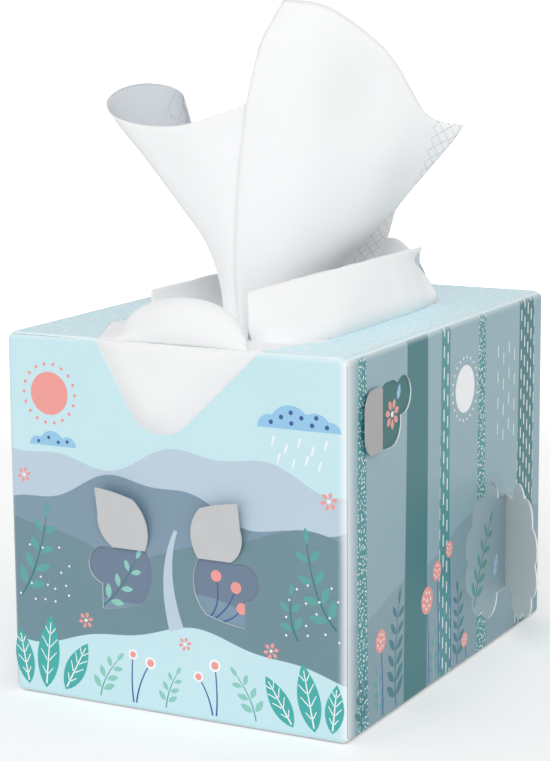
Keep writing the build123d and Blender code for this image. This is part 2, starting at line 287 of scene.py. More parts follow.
def side_fields(finish, _, y, z):
    """The right wall's colour fields: mist, low hills and tall poles that widen downwards, their colours
    darkened with painted shade.
    """
    mist = finish.node("ShaderNodeMapRange", {}, {"Value": z, "From Min": 0.0, "From Max": TOP}, "Result")
    paint = finish.blend(mist, FOOT_MIST, MIST)
    paint = finish.blend(z.below(waves(y, 44, (6, 26, 0.9), (2, 9, 0.0))), paint, LOW_MIST)
    for middle, half, pole, pattern in POLES:
        lean = (z / 31 + middle).of("SINE") * 0.5
        mask = (y - middle + lean).of("ABSOLUTE").below((1 - z / TOP) * 1.2 + half - 0.6)
        if pattern == "specks":
            pole = finish.blend(specks(finish, y, z), pole, PRINT_WHITE)
        if pattern == "dashes":
            pole = finish.blend(dashes(y - middle, z), pole, PRINT_WHITE)
        paint = finish.blend(mask, paint, pole)
    return paint


def short_dashes(finish, x, y, pitch=4.6):
    """Short white dashes at odd angles, one in each cell."""
    cell = finish.node("ShaderNodeTexVoronoi", {"voronoi_dimensions": "2D"},
                       {"Vector": finish.joined(x, y), "Scale": 1 / pitch, "Randomness": 0.8}, "Position")
    middle_x, middle_y, _ = finish.parts_of(cell)
    turn = (middle_x * 12.7 + middle_y * 7.3).of("SINE") * 1.6
    aside, along, sine, cosine = x - middle_x, y - middle_y, turn.of("SINE"), turn.of("COSINE")
    long_way = (aside * cosine + along * sine).of("ABSOLUTE")
    short_way = (along * cosine - aside * sine).of("ABSOLUTE")
    return long_way.below(1.15, 0.15) * short_way.below(0.38, 0.1)


def top_fields(finish, x, y, _):
    # The top's ground colour carries painted light
    return finish.blend(short_dashes(finish, x, y) * 0.95, TOP_AQUA_PAINTED_LIGHT, VEIL_WHITE)


def plain_fields(finish, x, y, z):
    """The left and back walls: short dashes over a pale ground, with a slate band below."""
    ground = finish.blend(short_dashes(finish, x + y, z) * 0.9, PLAIN_AQUA, PRINT_WHITE)
    return finish.blend(z.below(waves(x + y, 30, (5, 17, 0.3), (1.5, 6, 2.0))), ground, SLATE_LIGHT)


def printed(name, fields, fold_highlights):
    """Printed and varnished board: colour fields, faint fibre, and a painted highlight band along each
    pressed fold.
    """
    finish = Finish(name, PRINT_ROUGHNESS, **VARNISH)
    x, y, z = finish.parts_of(finish.spot)
    paint = fields(finish, x, y, z)
    # Painted highlight: each fold's band is blended towards white by its distance from the fold
    for distance, reach, amount in fold_highlights(x, y, z):
        paint = finish.blend(distance.below(reach * 0.6, reach * 0.5) * amount, paint, PRINT_WHITE)
    fibre = finish.mottle(0.5, 3.0)
    return finish.done(finish.lightened(paint, finish.mottle(26.0, 1.0) * 0.06 + fibre * 0.03 + 0.455), fibre)


def plain_board():
    """Grey-white uncoated board, with the paler cut edge of its core."""
    finish = Finish("board_inside", 0.85)
    fibre = finish.mottle(0.35, 4.0)
    paint = finish.blend(fibre * 0.25, BOARD_CORE, FLAP_BACK)
    return finish.done(finish.lightened(paint, finish.mottle(9.0, 2.0) * 0.08 + 0.46), fibre, 0.03)


def flap_finish(name, grey, axis, hinge, opened):
    """A flap's two faces: print where its outer face lies once it is shut, grey board elsewhere, that grey
    painted darker on the upper side flap and lighter on the lower one as shade and light.
    """
    finish = Finish(name, 0.62)
    shut = finish.node("ShaderNodeVectorRotate", {"rotation_type": "AXIS_ANGLE"},
                       {"Vector": finish.spot, "Center": hinge, "Axis": axis, "Angle": -math.radians(opened)})
    x, y, z = finish.parts_of(shut)
    on_right = hinge[0] == HALF_WIDTH
    depth, fields = (HALF_WIDTH - x, side_fields) if on_right else (y - FRONT, front_fields)
    fibre = finish.mottle(0.4, 4.0)
    back = finish.lightened(finish.blend(fibre * 0.3, grey, FIBRE), finish.mottle(7.0, 2.0) * 0.1 + 0.45)
    paint = finish.blend(depth.below(0.06, 0.02), back, fields(finish, x, y, z))
    return finish.done(paint, fibre, 0.02)


def liner_finish():
    """The inner card: slate behind the front windows, deep teal and mist behind the side ones."""
    finish = Finish("liner_print", 0.5)
    x, y, z = finish.parts_of(finish.spot)
    front = finish.blend(z.below(waves(x, 38, (3, 9, 0.5))), LINER_SLATE, SLATE_LIGHT)
    side = finish.blend(z.above(70.0, 4.0), LINER_MIST, LINER_TEAL)
    paint = finish.blend(y.below(FRONT + 2), side, front)
    paint = finish.lightened(paint, finish.mottle(20.0, 1.0) * 0.06 + 0.47)
    return finish.done(paint, finish.mottle(0.5, 3.0))


def ink_finish(name, code):
    """A printed motif: flat ink with the board's faint fibre in it."""
    finish = Finish(name, PRINT_ROUGHNESS, **VARNISH)
    fibre = finish.mottle(0.6, 2.0)
    return finish.done(finish.lightened(code, fibre * 0.1 + 0.45), fibre)


def tissue_finish(name, ground):
    """Soft creped paper: fine crepe lines, faint clouding and a dotted diamond emboss in the margin, its
    pressed dots painted grey as shade.
    """
    finish = Finish(name, 0.95, **{"Subsurface Weight": 0.15, "Subsurface Radius": (0.004, 0.004, 0.004),
                                   "Subsurface Scale": 0.3})
    along, inward, _ = finish.parts_of(finish.node("ShaderNodeUVMap", {"uv_map": "flat"}))
    along, inward = along * FLAT_UNIT, inward * FLAT_UNIT
    crepe = finish.node("ShaderNodeTexNoise", {},
                        {"Vector": finish.joined(along * 0.35, inward * 2.2), "Scale": 1.6, "Detail": 3.0})
    cloud = finish.mottle(12.0, 2.0)
    pitch, dot_pitch, slant = 3.1, 1.05, math.sqrt(0.5)
    rows = []
    for sign in (1, -1):
        track = (((along + inward * sign) * slant / pitch).of("FRACT") - 0.5).of("ABSOLUTE") * pitch
        dot = (((along - inward * sign) * slant / dot_pitch).of("FRACT") - 0.5).of("ABSOLUTE") * dot_pitch
        rows.append((track * track + dot * dot).of("SQRT").below(0.3, 0.1))
    band = inward.above(0.4, 0.2) * inward.below(EMBOSS_BAND, 0.2)
    dots = (rows[0] + rows[1]).of("MINIMUM", 1.0) * band
    # Painted shade: the emboss's pressed dots are blended towards a grey
    paint = finish.blend(dots * 0.55, finish.lightened(ground, cloud * 0.05 + 0.475), EMBOSS)
    return finish.done(paint, crepe * 0.4 + cloud * 0.3 + (1 - dots) * 0.6, 0.06)


def pile_finish():
    """The pile's side: the edges of many folded sheets, running over the bend."""
    finish = Finish("tissue_pile", 0.95)
    _, y, z = finish.parts_of(finish.spot)
    bend_middle, sheet_pitch = 42.0, 1.1
    rise = z - bend_middle
    depth = finish.node(
        "ShaderNodeMix", {"data_type": "FLOAT"},
        {0: z.above(bend_middle, 6.0), 2: y.of("ABSOLUTE"), 3: (y * y + rise * rise).of("SQRT")},
    )
    layer = ((depth + finish.mottle(5.0, 3.0) * 0.8) / sheet_pitch).of("FRACT")
    edge = (layer - 0.5).of("ABSOLUTE").above(0.36)
    return finish.done(finish.blend(edge * 0.5, PILE_WHITE, PILE_EDGE), layer, 0.15)


def print_skin(name, material, axis, way, reach):
    """The ink on one side of the carton: a copy of its outer faces there, lifted by the ink."""
    skin = added(name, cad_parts["carton"].data.copy())
    weld(skin, 1e-6, material)
    bpy.ops.object.mode_set(mode="EDIT")
    bpy.ops.mesh.select_mode(type="FACE")
    bpy.ops.mesh.select_all(action="DESELECT")
    bpy.ops.object.mode_set(mode="OBJECT")
    for face in skin.data.polygons:
        faces_out = way * face.normal[axis] > 0.7
        face.select = not (faces_out and way * face.center[axis] / MM > reach - 1)
    bpy.ops.object.mode_set(mode="EDIT")
    bpy.ops.mesh.delete(type="FACE")
    bpy.ops.mesh.select_mode(type="VERT")
    bpy.ops.mesh.select_all(action="SELECT")
    bpy.ops.transform.shrink_fatten(value=INK * MM)
    bpy.ops.object.mode_set(mode="OBJECT")
    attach(skin, "root")


def printed_sides():
    """The five printed sides of the carton. Each fold's painted highlight band is a distance, a reach and an
    amount.
    """
    front = printed("front_ink", front_fields, lambda x, y, z: (
        (HALF_WIDTH - x, 3.6, 0.75), (x + HALF_WIDTH, 1.6, 0.4), (TOP - z, 2.2, 0.35), (z, 1.2, 0.3)))
    right = printed("right_ink", side_fields, lambda x, y, z: (
        (y - FRONT, 6.0, 0.55), (BACK - y, 2.4, 0.3), (TOP - z, 2.6, 0.6), (z, 1.2, 0.2)))
    top = printed("top_ink", top_fields, lambda x, y, z: (
        (y - FRONT, 2.4, 0.5), (HALF_WIDTH - x, 2.4, 0.5), (x + HALF_WIDTH, 1.6, 0.4), (BACK - y, 1.6, 0.4)))
    plain = printed("plain_ink", plain_fields, lambda x, y, z: ((TOP - z, 2.0, 0.4), (z, 1.2, 0.3)))
    for side in (
        # piece, its ink, the axis it faces along, which way, and how far out it lies
        ("front_print", front, 1, -1, -FRONT), ("right_print", right, 0, 1, HALF_WIDTH),
        ("top_print", top, 2, 1, TOP), ("left_print", plain, 0, -1, HALF_WIDTH),
        ("back_print", plain, 1, 1, BACK),
    ):
        print_skin(*side)


def cad_finishes():
    """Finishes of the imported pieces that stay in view."""
    upper_hinge, lower_hinge = (HALF_WIDTH, UPPER_HINGE_Y, 0), (HALF_WIDTH, LOWER_HINGE_Y, 0)
    front = flap_finish("front_flap_board", FLAP_BACK, (-1, 0, 0), (0, FRONT, FRONT_HINGE_Z), FRONT_OPEN)
    # The side flaps' greys are painted shade on the upper flap and painted light on the lower one
    upper = flap_finish("upper_flap_board", UPPER_BACK_PAINTED_SHADE, (0, 0, -1), upper_hinge, UPPER_OPEN)
    lower = flap_finish("lower_flap_board", LOWER_BACK_PAINTED_LIGHT, (0, 0, 1), lower_hinge, LOWER_OPEN)
    finishes = {
        "carton": plain_board(), "inner_liner": liner_finish(), "tissue_stack": pile_finish(),
        "front_left_flap": front, "front_right_flap": front,
        "side_upper_flap": upper, "side_lower_flap": lower,
    }
    for name, material in finishes.items():
        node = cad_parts[name]
        if not node.material_slots:
            node.data.materials.append(material)
        for held in node.material_slots:
            held.link = "OBJECT"
            held.material = material


WALLS = {
    # turn about Z, and the wall's plane
    "front": (0.0, Vector((0, FRONT, 0))),
    "right": (math.radians(90), Vector((HALF_WIDTH, 0, 0))),
    "liner_front": (0.0, Vector((0, LINER_FRONT, 0))),
    "liner_right": (math.radians(90), Vector((LINER_RIGHT, 0, 0))),
}


def inked(name, wall, outlines, material, layer=2):
    """Closed outlines, drawn in a wall's own plane, filled and laid on the print as one piece."""
    drawing = bpy.data.curves.new(name, "CURVE")
    drawing.dimensions = "2D"
    drawing.fill_mode = "BOTH"
    drawing.extrude = INK / 2 * MM
    for outline in outlines:
        line = drawing.splines.new("POLY")
        line.points.add(len(outline) - 1)
        for point, (across, up) in zip(line.points, outline):
            point.co = (across * MM, up * MM, 0, 1)
        line.use_cyclic_u = True
    only(added(name, drawing))
    bpy.ops.object.convert(target="MESH")
    piece = bpy.context.object
    turn, plane = WALLS[wall]
    lift = Matrix.Translation((0, 0, (layer - 0.5) * INK * MM))
    upright = Matrix.Rotation(turn, 4, "Z") @ Matrix.Rotation(math.radians(90), 4, "X")
    piece.matrix_world = Matrix.Translation(plane * MM) @ upright @ lift
    only(piece)
    bpy.ops.object.transform_apply(location=True, rotation=True, scale=True)
    weld(piece, 1e-7, material)
    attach(piece, "root")


def disc(x, y, radius, corners=28):
    turns = [2 * math.pi * i / corners for i in range(corners)]
    return [(x + radius * math.cos(t), y + radius * math.sin(t)) for t in turns]


def ring_of_dots(x, y, radius, dot, count):
    return [disc(*place, dot, 8) for place in disc(x, y, radius, count)]


def turned(points, x, y, angle):
    """Points drawn along +X from the origin, turned by an angle in degrees and set at a place."""
    c, s = math.cos(math.radians(angle)), math.sin(math.radians(angle))
    return [(x + px * c - py * s, y + px * s + py * c) for px, py in points]


def leaf(x, y, length, width, angle, fullest=0.45, steps=12):
    """A pointed leaf from its stalk end, widest a little before its middle."""
    skew = math.log(0.5) / math.log(fullest)
    shares = [i / steps for i in range(steps + 1)]
    upper = [(length * t, width / 2 * math.sin(math.pi * t ** skew) ** 0.85) for t in shares]
    lower = [(px, -py) for px, py in reversed(upper[1:-1])]
    return turned(upper + lower, x, y, angle)


def bent(start, control, end, t):
    """A point on a curve that leaves its start towards a control point and arrives from it."""
    return [(1 - t) ** 2 * a + 2 * t * (1 - t) * b + t * t * c for a, b, c in zip(start, control, end)]


def heading(start, control, end, t):
    """A point on a curve and the direction there, in radians."""
    here, ahead = bent(start, control, end, t), bent(start, control, end, t + 0.01)
    return here, math.atan2(ahead[1] - here[1], ahead[0] - here[0])


def ribbon(start, control, end, width, end_width, steps=10):
    """A drawn line of tapering width along a bent path."""
    left, right = [], []
    for i in range(steps + 1):
        (x, y), run = heading(start, control, end, i / steps)
        half = (width + (end_width - width) * i / steps) / 2
        left.append((x - half * math.sin(run), y + half * math.cos(run)))
        right.append((x + half * math.sin(run), y - half * math.cos(run)))
    return left + right[::-1]


def veins(x, y, length, width, angle, pairs=4, line=0.55):
    """A leaf's midrib with pairs of side veins, each a thin tapering line."""
    lines = [ribbon((length * 0.06, 0), (length * 0.5, 0), (length * 0.9, 0), line, line * 0.6)]
    for i in range(pairs):
        root = length * (0.2 + 0.55 * i / (pairs - 1))
        reach = 0.36 * width * math.sin(math.pi * (root / length) ** 0.9)
        for side in (1, -1):
            near = side * line * 0.8
            lines.append(ribbon((root, near), (root + reach * 0.5, side * reach * 0.5),
                                (root + reach * 1.1, side * reach), line * 0.7, line * 0.5, 3))
    return [turned(points, x, y, angle) for points in lines]


def sprig(start, control, end, pairs, length, width, spread=48):
    """A stem's leaves in pairs, smaller towards its tip, with one at the tip itself."""
    leaves = []
    for i in range(pairs):
        t = (i + 0.7) / (pairs + 0.4)
        (x, y), run = heading(start, control, end, t)
        size = 1 - 0.35 * t
        for side in (0.5, -0.5):
            foot = x - side * math.sin(run), y + side * math.cos(run)
            turn = math.degrees(run) + 2 * side * spread
            leaves.append(leaf(*foot, length * size, width * size, turn, 0.5, 8))
    before = bent(start, control, end, 0.97)
    run = math.degrees(math.atan2(end[1] - before[1], end[0] - before[0]))
    leaves.append(leaf(*end, length * 0.75, width * 0.65, run, 0.5, 8))
    return leaves


def cloud_outline(x, y, discs, steps=36):
    """A cloud: a flat foot under the outer arcs of a row of discs of (place, radius)."""
    low = min(place - radius for place, radius in discs)
    high = max(place + radius for place, radius in discs)
    top = []
    for share in close_at_ends(steps + 1):
        at = low + (high - low) * share
        rise = max(math.sqrt(max(r * r - (at - c) ** 2, 0)) for c, r in discs)
        top.append((x + at, y + rise))
    return top


def blossom(x, y, reach, petals=6):
    """Small pointed petals round an open middle."""
    foot, size, first = 0.28 * reach, 0.72 * reach, 15
    outlines = []
    for i in range(petals):
        angle = first + 360 * i / petals
        at_x, at_y = x + foot * math.cos(math.radians(angle)), y + foot * math.sin(math.radians(angle))
        outlines.append(leaf(at_x, at_y, size, size * 0.62, angle, 0.55, 8))
    return outlines


def sprigs_in(name, rows, leaf_ink, stem_ink, stem_width=0.7, layer=2):
    """Sprigs of one colour, with their stems drawn over the leaves' feet."""
    yield name + "_leaves", [leaf for row in rows for leaf in sprig(*row)], leaf_ink, layer
    stems = [ribbon(*row[:3], stem_width, stem_width * 0.5) for row in rows]
    yield name + "_stems", stems, stem_ink, layer + 1


# Printed motifs: places are across and up, in each wall's own plane. A drawing gives a piece's name,
# its outlines, its ink and, where it isn't the usual one, its layer.
SUN, MOON = (-45, 101), (9, 96)
BIG_CLOUD, SMALL_CLOUD = (44, 97), (-44, 84)
CLOUD_DOTS = (
    (*BIG_CLOUD, 0.75, ((-9, 1.8), (-5.5, 3.6), (-2, 1.9), (-2.2, 5.2), (1.4, 3.8), (5, 1.8), (6.4, 4.2),
                        (10, 1.6))),
    (*SMALL_CLOUD, 0.6, ((-5.5, 1.2), (-1.6, 2.6), (2.0, 1.3), (5.4, 1.7))),
)
RAIN = ((-8, 0), (-3.5, 2.2), (1, 0), (5.5, 2.2), (10, 0), (-6, 5.2), (-1, 6.6), (3.6, 5.2), (8, 6.6))
FANS = (
    # foot across, foot up, length, width, angle
    (-55.5, 3, 19, 7, 100), (-49, 2.5, 25, 8.5, 84), (-41.5, 3, 19, 7.5, 62),
    (55.5, 3, 16, 6.5, 84), (49.5, 2.5, 22, 8, 101), (42, 3, 18, 7, 122),
)
FRONT_SPRIGS = (
    # start, bend, tip, pairs, leaf length, leaf width
    ((-57.5, 33), (-50, 44), (-47.5, 60), 4, 7, 3),
    ((57, 36), (49, 44), (47, 62), 4, 7, 3),
    ((44, 31), (40.5, 36), (41.5, 45), 2, 5.5, 2.5),
)
MEADOW_SPRIGS = (
    ((-28, 3), (-27, 9), (-21.5, 15.5), 3, 5.2, 2.3),
    ((29, 3), (28, 10), (22.5, 16.5), 3, 5.2, 2.3),
    ((-3.5, 2.5), (-3, 8), (0.5, 14), 3, 4.2, 1.9),
)
BERRY_STEMS = (
    # start, bend, tip, berry radius
    ((-14.5, 2.5), (-13.5, 10), (-9, 16.5), 2), ((-15.5, 2.5), (-16.5, 9), (-15.5, 18.5), 1.7),
    ((13.5, 2.5), (12.5, 9), (8.5, 14.5), 1.8), ((14.8, 2.5), (15.6, 9), (14.5, 19), 2.1),
)
FLOWERS = ((-33, 27.5, 2.8), (34.5, 26.5, 2.8), (-55.5, 73.5, 2.6), (54.5, 76, 3), (3.8, 24.5, 2.4))


def front_motifs():
    """The front's drawing: a sun and a rain cloud over hills, with leaves, sprigs and berries below."""
    yield "sun", [disc(*SUN, 7.0, 40)], "coral"
    yield "sun_rays", ring_of_dots(*SUN, 9.6, 0.6, 18), "coral"
    clouds = [
        cloud_outline(*BIG_CLOUD, ((-9.5, 4.2), (-2.5, 7.4), (6.0, 5.6), (11.5, 3.2))),
        cloud_outline(*SMALL_CLOUD, ((-6.0, 2.8), (-0.5, 4.8), (5.5, 3.2))),
    ]
    yield "clouds", clouds, "sky_blue"
    dots = [disc(x + a, z + b, size, 10) for x, z, size, places in CLOUD_DOTS for a, b in places]
    yield "cloud_dots", dots, "indigo", 3
    rain = [(BIG_CLOUD[0] + x, BIG_CLOUD[1] - z) for x, z in RAIN]
    drops = [ribbon((x, z - 2.5), (x - 0.4, z - 4), (x - 0.8, z - 5.4), 0.7, 0.5, 3) for x, z in rain]
    yield "rain", drops, "white"
    yield "fan_leaves", [leaf(*row) for row in FANS], "teal"
    yield "fan_veins", [line for row in FANS for line in veins(*row)], "white", 3
    yield from sprigs_in("hill", FRONT_SPRIGS, "teal_green", "fern")
    yield from sprigs_in("meadow", MEADOW_SPRIGS, "mint", "teal_green", 0.5)
    yield "berry_stems", [ribbon(*row[:3], 0.6, 0.4) for row in BERRY_STEMS], "indigo"
    for name, share, layer in (("white", 1.0, 3), ("coral", 0.62, 4)):
        berries = [disc(*tip, radius * share, 20) for _, _, tip, radius in BERRY_STEMS]
        yield "berries_" + name, berries, name, layer
    yield "flowers", [petal for row in FLOWERS for petal in blossom(*row)], "coral"
    yield "flower_middles", [disc(x, z, 0.2 * reach, 10) for x, z, reach in FLOWERS], "white"
    yield "river", [ribbon((1.0, 61), (-5.0, 47), (0.8, 28.8), 1.2, 5.4, 18)], "lilac"
    draw = random.Random(11)
    seeds, apart = [], 3
    while len(seeds) < 30:
        x, z = draw.choice((-1, 1)) * draw.uniform(38.5, 58), draw.uniform(32, 52)
        if all(math.hypot(x - a, z - b) > apart for a, b in seeds):
            seeds.append((x, z))
    yield "hill_seeds", [disc(*seed, 0.4, 8) for seed in seeds], "white", 5


SIDE_FERNS = (
    ((-45.5, 2.5), (-47.5, 18), (-43.5, 35), 6, 8, 2.9),
    ((3.5, 2.5), (6, 14), (4, 27), 5, 6.5, 2.6),
    ((-70.5, 2.5), (-72, 10), (-69.5, 19), 3, 5.5, 2.4),
)
SIDE_GRASS = (
    ((-15.5, 2.5), (-17, 9), (-14.5, 17), 3, 5, 2.2), ((74, 2.5), (75, 10), (73, 19), 3, 5, 2.2),
    ((-58.5, 2.5), (-57, 9), (-59.5, 16), 3, 4.6, 2.1),
)
SIDE_HEADS = ((-21.5, 31, 4.6), (-13.5, 39, 3.4), (-57, 27, 3.8), (-3.5, 44, 2.8), (10, 9, 2.6))


def side_motifs():
    """The right wall's drawing: a pale moon over ferns, grasses and round dotted flowers."""
    yield "moon", [disc(*MOON, 8.0, 44)], "white"
    yield "moon_ring", ring_of_dots(*MOON, 10.6, 0.5, 22), "white"
    yield from sprigs_in("fern", SIDE_FERNS, "fern", "indigo", 0.8)
    yield from sprigs_in("grass", SIDE_GRASS, "teal_green", "mint", 0.5)
    stems = [ribbon((x + 1.5, 2.5), (x + 2.0, z * 0.5), (x, z), 0.8, 0.5) for x, z, _ in SIDE_HEADS]
    yield "flower_stems", stems, "indigo", 4
    yield "flowers", [disc(*head, 28) for head in SIDE_HEADS], "coral", 5
    dots = [dot for x, z, r in SIDE_HEADS for dot in ring_of_dots(x, z, 0.6 * r, 0.12 * r, 7)]
    dots += [disc(x, z, 0.14 * r, 8) for x, z, r in SIDE_HEADS]
    yield "flower_dots", dots, "white", 6
    drops = [(y, 106 - 9 * i - 3 * (k % 2)) for k, y in enumerate((38, 43, 48, 53)) for i in range(4)]
    yield "rain", [ribbon((y, z), (y, z - 2), (y, z - 4), 0.5, 0.5, 2) for y, z in drops], "white"


def front_window_motifs():
    """What the open front flaps show on the inner card: a sprig and berries."""
    yield from sprigs_in("sprig", (((-27, 33), (-20, 38), (-14, 50), 3, 5.5, 2.4),), "mint", "fern", 0.6, 1)
    twigs = (
        ((12, 34), (17, 38), (15, 48)), ((13.5, 33.5), (20, 38), (22, 45)), ((15, 33), (21, 34), (24, 38.5)),
    )
    yield "twigs", [ribbon(*twig, 0.6, 0.4) for twig in twigs], "indigo", 1
    yield "berries", [disc(*twig[2], 1.9, 18) for twig in twigs], "coral", 2


def side_window_motifs():
    """What the open side flaps show on the inner card: a flower, a drop, a fern and a leaf."""
    flower, side_leaf = (-47.5, 97.5), (38, 24, 9.0, 4.0, 75)
    yield "flower", blossom(*flower, 5.0, 7), "coral", 1
    yield "flower_middle", [disc(*flower, 1.0, 14)], "white", 2
    yield "drop", [leaf(-43.5, 101.5, 5.0, 2.6, 70)], "sky_blue", 1
    yield from sprigs_in("fern", (((20, 18), (24, 30), (33, 44), 5, 7.0, 2.6),), "teal_green", "fern", 0.7, 1)
    yield "leaf", [leaf(*side_leaf)], "sky_blue", 1
    yield "leaf_veins", veins(*side_leaf, 3, 0.4), "white", 2


def motifs():
    """Every printed motif, each ink with one finish of its own."""
    finishes = {name: ink_finish(name + "_ink", code) for name, code in INKS.items()}
    for wall, place, drawing in (
        ("front", "front_", front_motifs), ("right", "side_", side_motifs),
        ("liner_front", "window_", front_window_motifs), ("liner_right", "window_", side_window_motifs),
    ):
        for name, outlines, ink, *layer in drawing():
            inked(place + name, wall, outlines, finishes[ink], *layer)


def close_at_ends(count):
    """Shares from 0 to 1 that lie closer together towards both ends."""
    return [0.5 - 0.5 * math.cos(math.pi * i / (count - 1)) for i in range(count)]


def shares(count):
    """Even shares from 0 to 1."""
    return [i / (count - 1) for i in range(count)]


def beside(spot, edge, travelled):
    """Where a point lies beside an edge: how far along it, and how far from it."""
    best = (0.0, 1e9)
    for here, ahead, start in zip(edge, edge[1:], travelled):
        step = ahead - here
        share = min(1.0, max(0.0, (spot - here).dot(step) / step.length_squared))
        away = (spot - here - step * share).length
        if away < best[1]:
            best = (start + step.length * share, away)
    return best


def row_lengths(row):
    """How far each point of a row lies from its first one, measured along the row."""
    travelled = [0.0]
    for before, after in zip(row, row[1:]):
        travelled.append(travelled[-1] + (after - before).length)
    return travelled


# Tissue surfaces are lofted through ribs of given points
def smooth(points, count):
    """Evenly spaced points on a smooth curve through a few given ones."""
    points = [Vector(p) for p in points]
    ends = [2 * points[0] - points[1], *points, 2 * points[-1] - points[-2]]
    line = []
    for i in range(1, len(ends) - 2):
        a, b, c, d = ends[i - 1:i + 3]
        for j in range(16):
            t = j / 16
            line.append(0.5 * (2 * b + (c - a) * t + (2 * a - 5 * b + 4 * c - d) * t * t
                               + (3 * b - a - 3 * c + d) * t ** 3))
    line.append(points[-1])
    travelled = row_lengths(line)
    even, at = [], 0
    for share in shares(count):
        wanted = travelled[-1] * share
        while at < len(line) - 2 and travelled[at + 1] < wanted:
            at += 1
        step = travelled[at + 1] - travelled[at]
        even.append(line[at].lerp(line[at + 1], min(1.0, (wanted - travelled[at]) / max(step, 1e-9))))
    return even


def loft(ribs, across, up):
    """Rows of points over ribs that lie one above the other."""
    spread = [smooth(rib, across) for rib in ribs]
    columns = [smooth([rib[i] for rib in spread], up) for i in range(across)]
    return [[column[j] for column in columns] for j in range(up)]


def grid(across, rows, point_of):
    """Rows of points from a function of a share across and a row's own value."""
    return [[point_of(u, row) for u in close_at_ends(across)] for row in rows]


def sheet_piece(name, rows, crumple=None, margin=None, slip=None):
    """A grid shaped into a lofted surface, with a map of how far each point lies from its margin."""
    up, across = len(rows), len(rows[0])
    bpy.ops.mesh.primitive_grid_add(x_subdivisions=across - 1, y_subdivisions=up - 1, size=2)
    piece = bpy.context.object
    piece.name = piece.data.name = name
    edge = [row[margin] for row in rows] if margin is not None else []
    travelled = row_lengths(edge)
    places = []
    for i, vertex in enumerate(piece.data.vertices):
        spot = rows[i // across][i % across]
        along, inward = beside(spot, edge, travelled) if edge else (0.0, 2 * EMBOSS_BAND)
        if slip:
            inward += slip(edge[i // across])
        places.append((along / FLAT_UNIT, inward / FLAT_UNIT))
        if crumple:
            spot = crumple(spot, (i % across) / (across - 1), (i // across) / (up - 1))
        vertex.co = spot * MM
    flat = piece.data.uv_layers[0]
    flat.name = "flat"
    for loop in piece.data.loops:
        flat.data[loop.index].uv = places[loop.vertex_index]
    piece.data.shade_smooth()
    return piece


def joined_sheet(name, pieces, face, reverse):
    """Surfaces of one sheet joined and given the paper's thickness, its reverse in a greyer finish of its
    own, which is painted shade.
    """
    only(*pieces)
    bpy.ops.object.join()
    sheet = bpy.context.object
    sheet.name = sheet.data.name = name
    weld(sheet, 2e-5, face, reverse)
    wall = sheet.modifiers.new("paper", "SOLIDIFY")
    wall.thickness, wall.offset, wall.material_offset = SHEET * MM, 0.0, 1
    bpy.ops.object.modifier_apply(modifier=wall.name)
    return sheet


def ruffled(strength, size, seed):
    """A crumple that pushes points about, more where the strength says."""
    def push(spot, u, v):
        amount = strength(u, v)
        if amount == 0:
            return spot
        offset = Vector((seed, 2 * seed, 3 * seed))
        return spot + noise.noise_vector(spot / size + offset) * amount
    return push


def curl_rib(middle, radius, height, tilt, *face):
    """A cut through the wing: its curled end, from its inner edge round the back, then its face."""
    turns = [math.radians(a) for a in (22, 55, 90, 125, 160, 195, 230, 262)]
    x, y = middle
    curl = [(x + radius * math.cos(a), y + radius * math.sin(a), height + tilt * math.sin(a - 0.44))
            for a in turns]
    return curl + list(face)


def dented(spot, u, v):
    """The sail's soft dent near its right edge, and a faint wave along the paper."""
    dent = math.exp(-((spot.x - 33) / 6.5) ** 2 - ((spot.z - 191) / 15) ** 2) * 3.2
    wave = 0.5 * math.sin(spot.z / 11 + spot.x / 9) * math.sin(math.pi * u) * v
    return spot + Vector((-0.35, 0.93, 0)) * (dent + wave)


def slipping(height, over):
    """How far a sheet's margin has run off behind its fold: not at all above a height, fully lower down."""
    return lambda edge: EMBOSS_BAND * min(2.0, max(0.0, (height - edge.z) / over))


